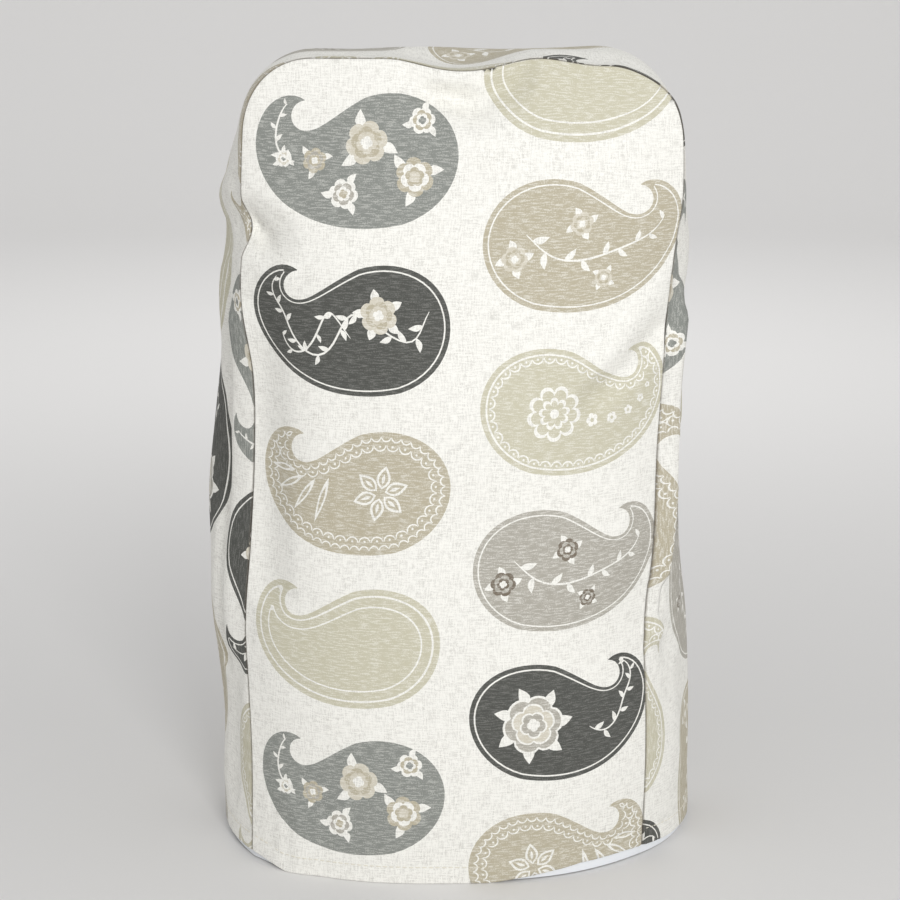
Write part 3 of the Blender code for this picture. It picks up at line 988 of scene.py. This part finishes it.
# Every style of drop, as outlines with their inks in painting order
STYLES = {
    "scallop_sage": scallop_drop("sage"),
    "plain_sage": plain_drop("sage"),
    "spray_grey": spray_drop("grey", "umber"),
    "lace_taupe": lace_drop("taupe"),
    "spray_taupe": spray_drop("taupe", "stone"),
    "blooms_slate": blooms_drop("slate", "taupe", "stone", "grey"),
    "vine_charcoal": vine_drop("charcoal", "stone", "taupe"),
    "bloom_charcoal": big_bloom_drop("charcoal", "grey", "stone"),
}

# A drop's two flat places, its style, and 1 where its tip points left or -1 where it points right
Drop = namedtuple("Drop", "first second facing style")

# The styles that follow each other in a column, the distances between drops of the panels and of
# the gusset, and the drops' lean in degrees
LEFT_STYLES = ("scallop_sage", "vine_charcoal", "blooms_slate", "lace_taupe")
RIGHT_STYLES = ("spray_grey", "spray_taupe", "bloom_charcoal", "plain_sage")
FRONT_LEFT_STYLES = ("blooms_slate", "vine_charcoal", "lace_taupe", "plain_sage")
FRONT_RIGHT_STYLES = (
    "plain_sage", "spray_taupe", "scallop_sage", "spray_grey", "bloom_charcoal", "lace_taupe")
PITCH_LONG = 0.1085
PITCH_SHORT = 0.0775
LEAN = 8


def column_of_drops(first, start, step, count, facing, styles, upright=True):
    """A column of drops whose styles follow each other, on a panel or along the gusset."""
    drops = []
    for number in range(count):
        second = start + step * number
        place = (first, second) if upright else (second, first)
        drops.append(Drop(*place, facing, styles[number % len(styles)]))
    return drops


FRONT_PRINT = (
    column_of_drops(-0.0500, 0.3560, -PITCH_SHORT, 5, 1, FRONT_LEFT_STYLES)
    + column_of_drops(0.0585, 0.3950, -PITCH_SHORT, 6, -1, FRONT_RIGHT_STYLES)
)
BACK_PRINT = (
    column_of_drops(-0.0960, 0.0200, PITCH_SHORT, 6, -1, RIGHT_STYLES)
    + column_of_drops(0.0125, -0.0188, PITCH_SHORT, 6, 1, LEFT_STYLES)
    + column_of_drops(0.1210, 0.0200, PITCH_SHORT, 6, -1, RIGHT_STYLES)
)
GUSSET_PRINT = (
    column_of_drops(-0.0830, 0.0380, PITCH_LONG, 10, 1, LEFT_STYLES, upright=False)
    + column_of_drops(-0.0055, -0.0160, PITCH_LONG, 10, -1, RIGHT_STYLES, upright=False)
    + column_of_drops(0.0720, 0.0380, PITCH_LONG, 10, 1, LEFT_STYLES, upright=False)
)
# A colour without ink, which shows the ground
BARE = INKS["cream"][:3] + (0.0,)
DROP_MIDDLE = (drop_ring(0.0).min(axis=0) + drop_ring(0.0).max(axis=0)) / 2


def printed_shapes(drops, loop):
    """The outlines of all drops in a cut piece's flat places, and their inks in painting order."""
    low, high = loop.min(axis=0), loop.max(axis=0)
    shapes, inks = [], []
    for drop in drops:
        turn = math.radians(LEAN * drop.facing)
        spin = np.array([[math.cos(turn), math.sin(turn)], [-math.sin(turn), math.cos(turn)]])
        for shape, ink in STYLES[drop.style]:
            placed = (shape - DROP_MIDDLE) * (drop.facing, 1) @ spin + (drop.first, drop.second)
            if np.all(placed.max(axis=0) > low) and np.all(placed.min(axis=0) < high):
                shapes.append(placed)
                cover = COVER.get(ink, COVER_OTHERS)
                inks.append(BARE if ink == "cream" else INKS[ink][:3] + (cover,))
    return shapes, inks + [BARE]


class Shading:
    """Adds and joins a material's nodes."""

    def __init__(self, name):
        self.material = bpy.data.materials.new(name)
        self.material.use_nodes = True
        self.tree = self.material.node_tree
        self.shader = self.tree.nodes["Principled BSDF"]

    def node(self, kind, **inputs):
        node = self.tree.nodes.new(kind)
        for name, value in inputs.items():
            self.put(node.inputs[name.replace("_", " ")], value)
        return node

    def put(self, socket, value):
        if isinstance(value, bpy.types.NodeSocket):
            self.tree.links.new(value, socket)
        else:
            socket.default_value = value

    def attribute(self, name):
        node = self.node("ShaderNodeAttribute")
        node.attribute_name = name
        return node

    def maths(self, operation, first, second=0.0):
        node = self.tree.nodes.new("ShaderNodeMath")
        node.operation = operation
        self.put(node.inputs[0], first)
        self.put(node.inputs[1], second)
        return node.outputs["Value"]

    def noise(self, vector, lengths, offset, detail=1.0):
        """Soft noise with spots of the given lengths, in metres, along the vector's two ways."""
        scaled = self.tree.nodes.new("ShaderNodeVectorMath")
        scaled.operation = "MULTIPLY_ADD"
        self.put(scaled.inputs[0], vector)
        scaled.inputs[1].default_value = (1 / lengths[0], 1 / lengths[1], 1.0)
        scaled.inputs[2].default_value = (offset, offset, offset)
        node = self.node("ShaderNodeTexNoise", Vector=scaled.outputs["Vector"], Scale=1.0,
                         Detail=detail, Roughness=0.5)
        node.noise_dimensions = "2D"
        return node.outputs["Fac"]

    def summed(self, first, second, share):
        """Two values added up, the second by its share and the first by the rest."""
        first = self.maths("MULTIPLY", first, 1 - share)
        return self.maths("ADD", first, self.maths("MULTIPLY", second, share))

    def ramp(self, value, low, high, first=0.0, last=1.0):
        node = self.node("ShaderNodeMapRange", Value=value, From_Min=low, From_Max=high,
                         To_Min=first, To_Max=last)
        return node.outputs["Result"]

    def mixed(self, share, first, second):
        node = self.tree.nodes.new("ShaderNodeMix")
        node.data_type = "RGBA"
        self.put(node.inputs["Factor"], share)
        self.put(node.inputs["A"], first)
        self.put(node.inputs["B"], second)
        return node.outputs["Result"]

    def finish(self, colour, height, strength, distance, roughness):
        bump = self.node("ShaderNodeBump", Height=height, Strength=strength, Distance=distance)
        self.put(self.shader.inputs["Base Color"], colour)
        self.put(self.shader.inputs["Normal"], bump.outputs["Normal"])
        self.put(self.shader.inputs["Roughness"], roughness)
        return self.material


# Lengths of uneven threads, short knots in them and paler stretches, over the flat cloth's two ways
WARP = (0.00070, 0.0048)
WEFT = (0.0052, 0.00070)
KNOTS = (0.00060, 0.00060)
STRETCHES = (0.0080, 0.0080)
LINING_WARP = (0.00040, 0.0030)
LINING_WEFT = (0.0030, 0.00040)


def print_material():
    """Linen-look cotton: uneven warp and weft threads, and inks that leave some of them bare."""
    look = Shading("printed_cotton")
    ink = look.attribute("ink")
    flat = look.attribute("flat").outputs["Vector"]
    warp = look.noise(flat, WARP, 3.0, 1.5)
    weft = look.noise(flat, WEFT, 17.0, 1.5)
    knots = look.noise(flat, KNOTS, 29.0)
    stretches = look.noise(flat, STRETCHES, 41.0, 2.0)
    threads = look.summed(look.summed(warp, weft, 0.5), knots, 0.3)
    grey = look.ramp(threads, 0.56, 0.38)
    grey = look.maths("MULTIPLY", grey, look.ramp(stretches, 0.30, 0.70, 0.32, 0.58))
    ground = look.mixed(grey, INKS["cream"], FLECK)
    bare = look.ramp(look.summed(weft, knots, 0.4), 0.47, 0.64)
    bare = look.maths("MULTIPLY", bare, look.maths("SUBTRACT", 1.0, ink.outputs["Alpha"]))
    printed = look.mixed(bare, ink.outputs["Color"], ground)
    inked = look.maths("GREATER_THAN", ink.outputs["Alpha"], 0.01)
    colour = look.mixed(inked, ground, printed)
    # Painted shade: darkens the cloth towards the seam colour in the seam grooves
    painted_seam_shade = look.maths("MULTIPLY", look.attribute("painted_seam_shade").outputs["Fac"], SEAM_SHADE_SHARE)
    colour = look.mixed(painted_seam_shade, colour, SEAM_SHADE_COLOUR)
    return look.finish(colour, threads, 0.60, 0.00030, 0.88)


def lining_material():
    """Plain white cotton with a fine weave."""
    look = Shading("white_lining")
    flat = look.attribute("flat").outputs["Vector"]
    warp = look.noise(flat, LINING_WARP, 5.0)
    weft = look.noise(flat, LINING_WEFT, 11.0)
    threads = look.summed(warp, weft, 0.5)
    colour = look.mixed(look.ramp(threads, 0.36, 0.64, 0.08, 0.0), LINING_WHITE, LINING_SHADE)
    return look.finish(colour, threads, 0.30, 0.00015, 0.80)


def thread_material():
    """Plain sewing thread."""
    look = Shading("cream_thread")
    look.put(look.shader.inputs["Base Color"], THREAD_CREAM)
    look.put(look.shader.inputs["Roughness"], 0.70)
    return look.material


def hem_places(cut):
    """Flat places along the stitch line of a cut piece's hem, one set of two ends a stitch."""
    half = (GUSSET_WIDTH if cut == "gusset" else PANEL_WIDTH) / 2
    starts = np.arange(-half + STITCH_INSET, half - 2 * STITCH_INSET, STITCH_PITCH)
    across = np.stack([starts, starts + STITCH_LENGTH], axis=-1)
    share = across / half / 2
    if cut != "gusset":
        place = share + 0.5 if cut == "front" else 2.5 - share
        return np.stack([across, hem_lift(place) + STITCH_HEIGHT], axis=-1)
    left = hem_lift(3.5 - share) + STITCH_HEIGHT
    right = ROUND - hem_lift(1.5 + share) - STITCH_HEIGHT
    return np.concatenate([np.stack([left, across], axis=-1), np.stack([right, across], axis=-1)])


def stitches(cut, material):
    """Short threads that dive into the hem at both ends."""
    ends = hem_places(cut)
    steps = np.linspace(0, 1, 6)
    flat = ends[:, None, 0] * (1 - steps)[None, :, None] + ends[:, None, 1] * steps[None, :, None]
    count = len(ends)
    points, inwards, seam, hem = lie(cut, flat.reshape(-1, 2))
    depth = printed_depths(seam, hem)[0]
    arch_over = np.tile(THREAD * (0.55 - 2.0 * np.abs(2 * steps - 1)**6), count)
    middle = points + inwards * (depth - arch_over)[:, None] - MIDDLE
    middle = middle.reshape(count, len(steps), 3)
    out = -inwards.reshape(count, len(steps), 3)
    run = unit(np.gradient(middle, axis=1))
    side = unit(np.cross(run, out))
    turn = np.linspace(0, 2 * math.pi, 6, endpoint=False)
    ring = (side[:, :, None] * np.cos(turn)[None, None, :, None]
            + np.cross(side, run)[:, :, None] * np.sin(turn)[None, None, :, None])
    points = (middle[:, :, None] + THREAD * ring).reshape(-1, 3)
    faces = []
    wide, rows = len(turn), len(steps)
    for number in range(count):
        first = number * wide * rows
        faces += tube_faces(first, rows, wide)
        faces.append(tuple(first + k for k in reversed(range(wide))))
        faces.append(tuple(first + (rows - 1) * wide + k for k in range(wide)))
    name = cut + "_stitches"
    return added(name, new_mesh(name, points.tolist(), faces, material))


def cut_loop(cut, lift, step):
    """Flat outline of a cut piece whose hem is lifted by the given function of its place."""
    if cut == "gusset":
        return gusset_loop(lambda across: lift(3.5 - across / GUSSET_WIDTH - 1e-9),
                           lambda across: lift(1.5 + across / GUSSET_WIDTH), step)
    return panel_loop(lambda place: lift(place if cut == "front" else 3 - place), step)


def lining_lift(place):
    """The lining's hem is at one height all round."""
    return 0 * place + LINING_RISE


PRINTS = {"front": FRONT_PRINT, "back": BACK_PRINT, "gusset": GUSSET_PRINT}
NODES = {"front": "front_panel", "back": "back_panel", "gusset": "gusset"}


def declared(piece, node, hem):
    """Binds a cloth, with the stitches of its hem if it has any, to the root and hides the part it
    replaces.
    """
    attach(piece, "root")
    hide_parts(node)
    if hem:
        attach(hem, "root")


def make_cover():
    """The three printed pieces, the three lining pieces and the stitches of the hem."""
    printed, white, thread = print_material(), lining_material(), thread_material()
    cloths, linings = {}, {}
    for cut, drops in PRINTS.items():
        loop = cut_loop(cut, hem_lift, EDGE_STEP)
        shapes, inks = printed_shapes(drops, loop)
        cloths[cut] = sewn(cut + "_cloth", cut, loop, shapes, inks, printed_depths,
                           SEAM_ROWS, PRINT_STEP, printed)
        loop = cut_loop(cut, lining_lift, LINING_STEP)
        linings[cut] = sewn("lining_" + cut + "_cloth", cut, loop, [], [BARE], lining_depths,
                            LINING_ROWS, LINING_STEP, white)
    hems = {cut: stitches(cut, thread) for cut in PRINTS}
    for cut, piece in cloths.items():
        declared(piece, NODES[cut], hems[cut])
    for cut, piece in linings.items():
        declared(piece, "lining_" + cut, None)


# The stage, the lights and the camera
FLOOR_REACH = 2.4
FLOOR_CURVE = 0.9
WALL_HEIGHT = 1.0
FLOOR_COLOUR = linear(226, 225, 224)
SKY_STRENGTH = 0.68
CAMERA_PLACE = (-0.0017, -1.0498, 0.45)
CAMERA_DOWN = 13.5
CAMERA_LENS = 83.52
SENSOR_WIDTH = 36.0
Light = namedtuple("Light", "name place target size power")
LIGHTS = (
    Light("key", (0.32, -1.42, 0.70), (0.0, 0.0, 0.2), 0.35, 9.4),
    Light("wall_light", (0.0, 1.0, 1.3), (0.0, 2.8, 0.1), 0.8, 9.0),
)


def make_floor():
    """A pale floor that curves up far away on all sides."""
    turn = np.linspace(0, math.pi / 2, 13)
    reach = FLOOR_REACH + FLOOR_CURVE * np.sin(turn)
    rise = FLOOR_CURVE * (1 - np.cos(turn))
    reach = np.concatenate([[0.4, 1.2], reach, [FLOOR_REACH + FLOOR_CURVE]])
    rise = np.concatenate([[0.0, 0.0], rise, [WALL_HEIGHT]])
    count = 64
    angle = np.linspace(0, 2 * math.pi, count, endpoint=False)
    points = [(0.0, 0.0, 0.0)]
    for r, z in zip(reach, rise):
        points += [(r * math.cos(a), r * math.sin(a), z) for a in angle]
    faces = [(0, 1 + k, 1 + (k + 1) % count) for k in range(count)]
    faces += [face[::-1] for face in tube_faces(1, len(reach), count)]
    look = Shading("pale_floor")
    look.put(look.shader.inputs["Base Color"], FLOOR_COLOUR)
    look.put(look.shader.inputs["Roughness"], 0.7)
    added("floor", new_mesh("floor", points, faces, look.material))


def area_light(light):
    """A soft square lamp that faces its target."""
    lamp = bpy.data.lights.new(light.name, "AREA")
    lamp.shape = "SQUARE"
    lamp.size = light.size
    lamp.energy = light.power
    obj = added(light.name, lamp)
    obj.location = light.place
    aim = Vector(light.target) - Vector(light.place)
    obj.rotation_euler = aim.to_track_quat("-Z", "Y").to_euler()


def make_camera():
    camera = bpy.data.cameras.new("camera")
    camera.lens = CAMERA_LENS
    camera.sensor_width = SENSOR_WIDTH
    obj = added("camera", camera)
    obj.location = CAMERA_PLACE
    obj.rotation_euler = (math.radians(90 - CAMERA_DOWN), 0.0, 0.0)
    bpy.context.scene.camera = obj


def make_world():
    world = bpy.data.worlds.new("soft_light")
    world.use_nodes = True
    background = world.node_tree.nodes["Background"]
    background.inputs["Color"].default_value = (1.0, 1.0, 1.0, 1.0)
    background.inputs["Strength"].default_value = SKY_STRENGTH
    bpy.context.scene.world = world


make_cover()
make_floor()
for light in LIGHTS:
    area_light(light)
make_world()
make_camera()
bpy.context.scene.view_settings.view_transform = "Standard"
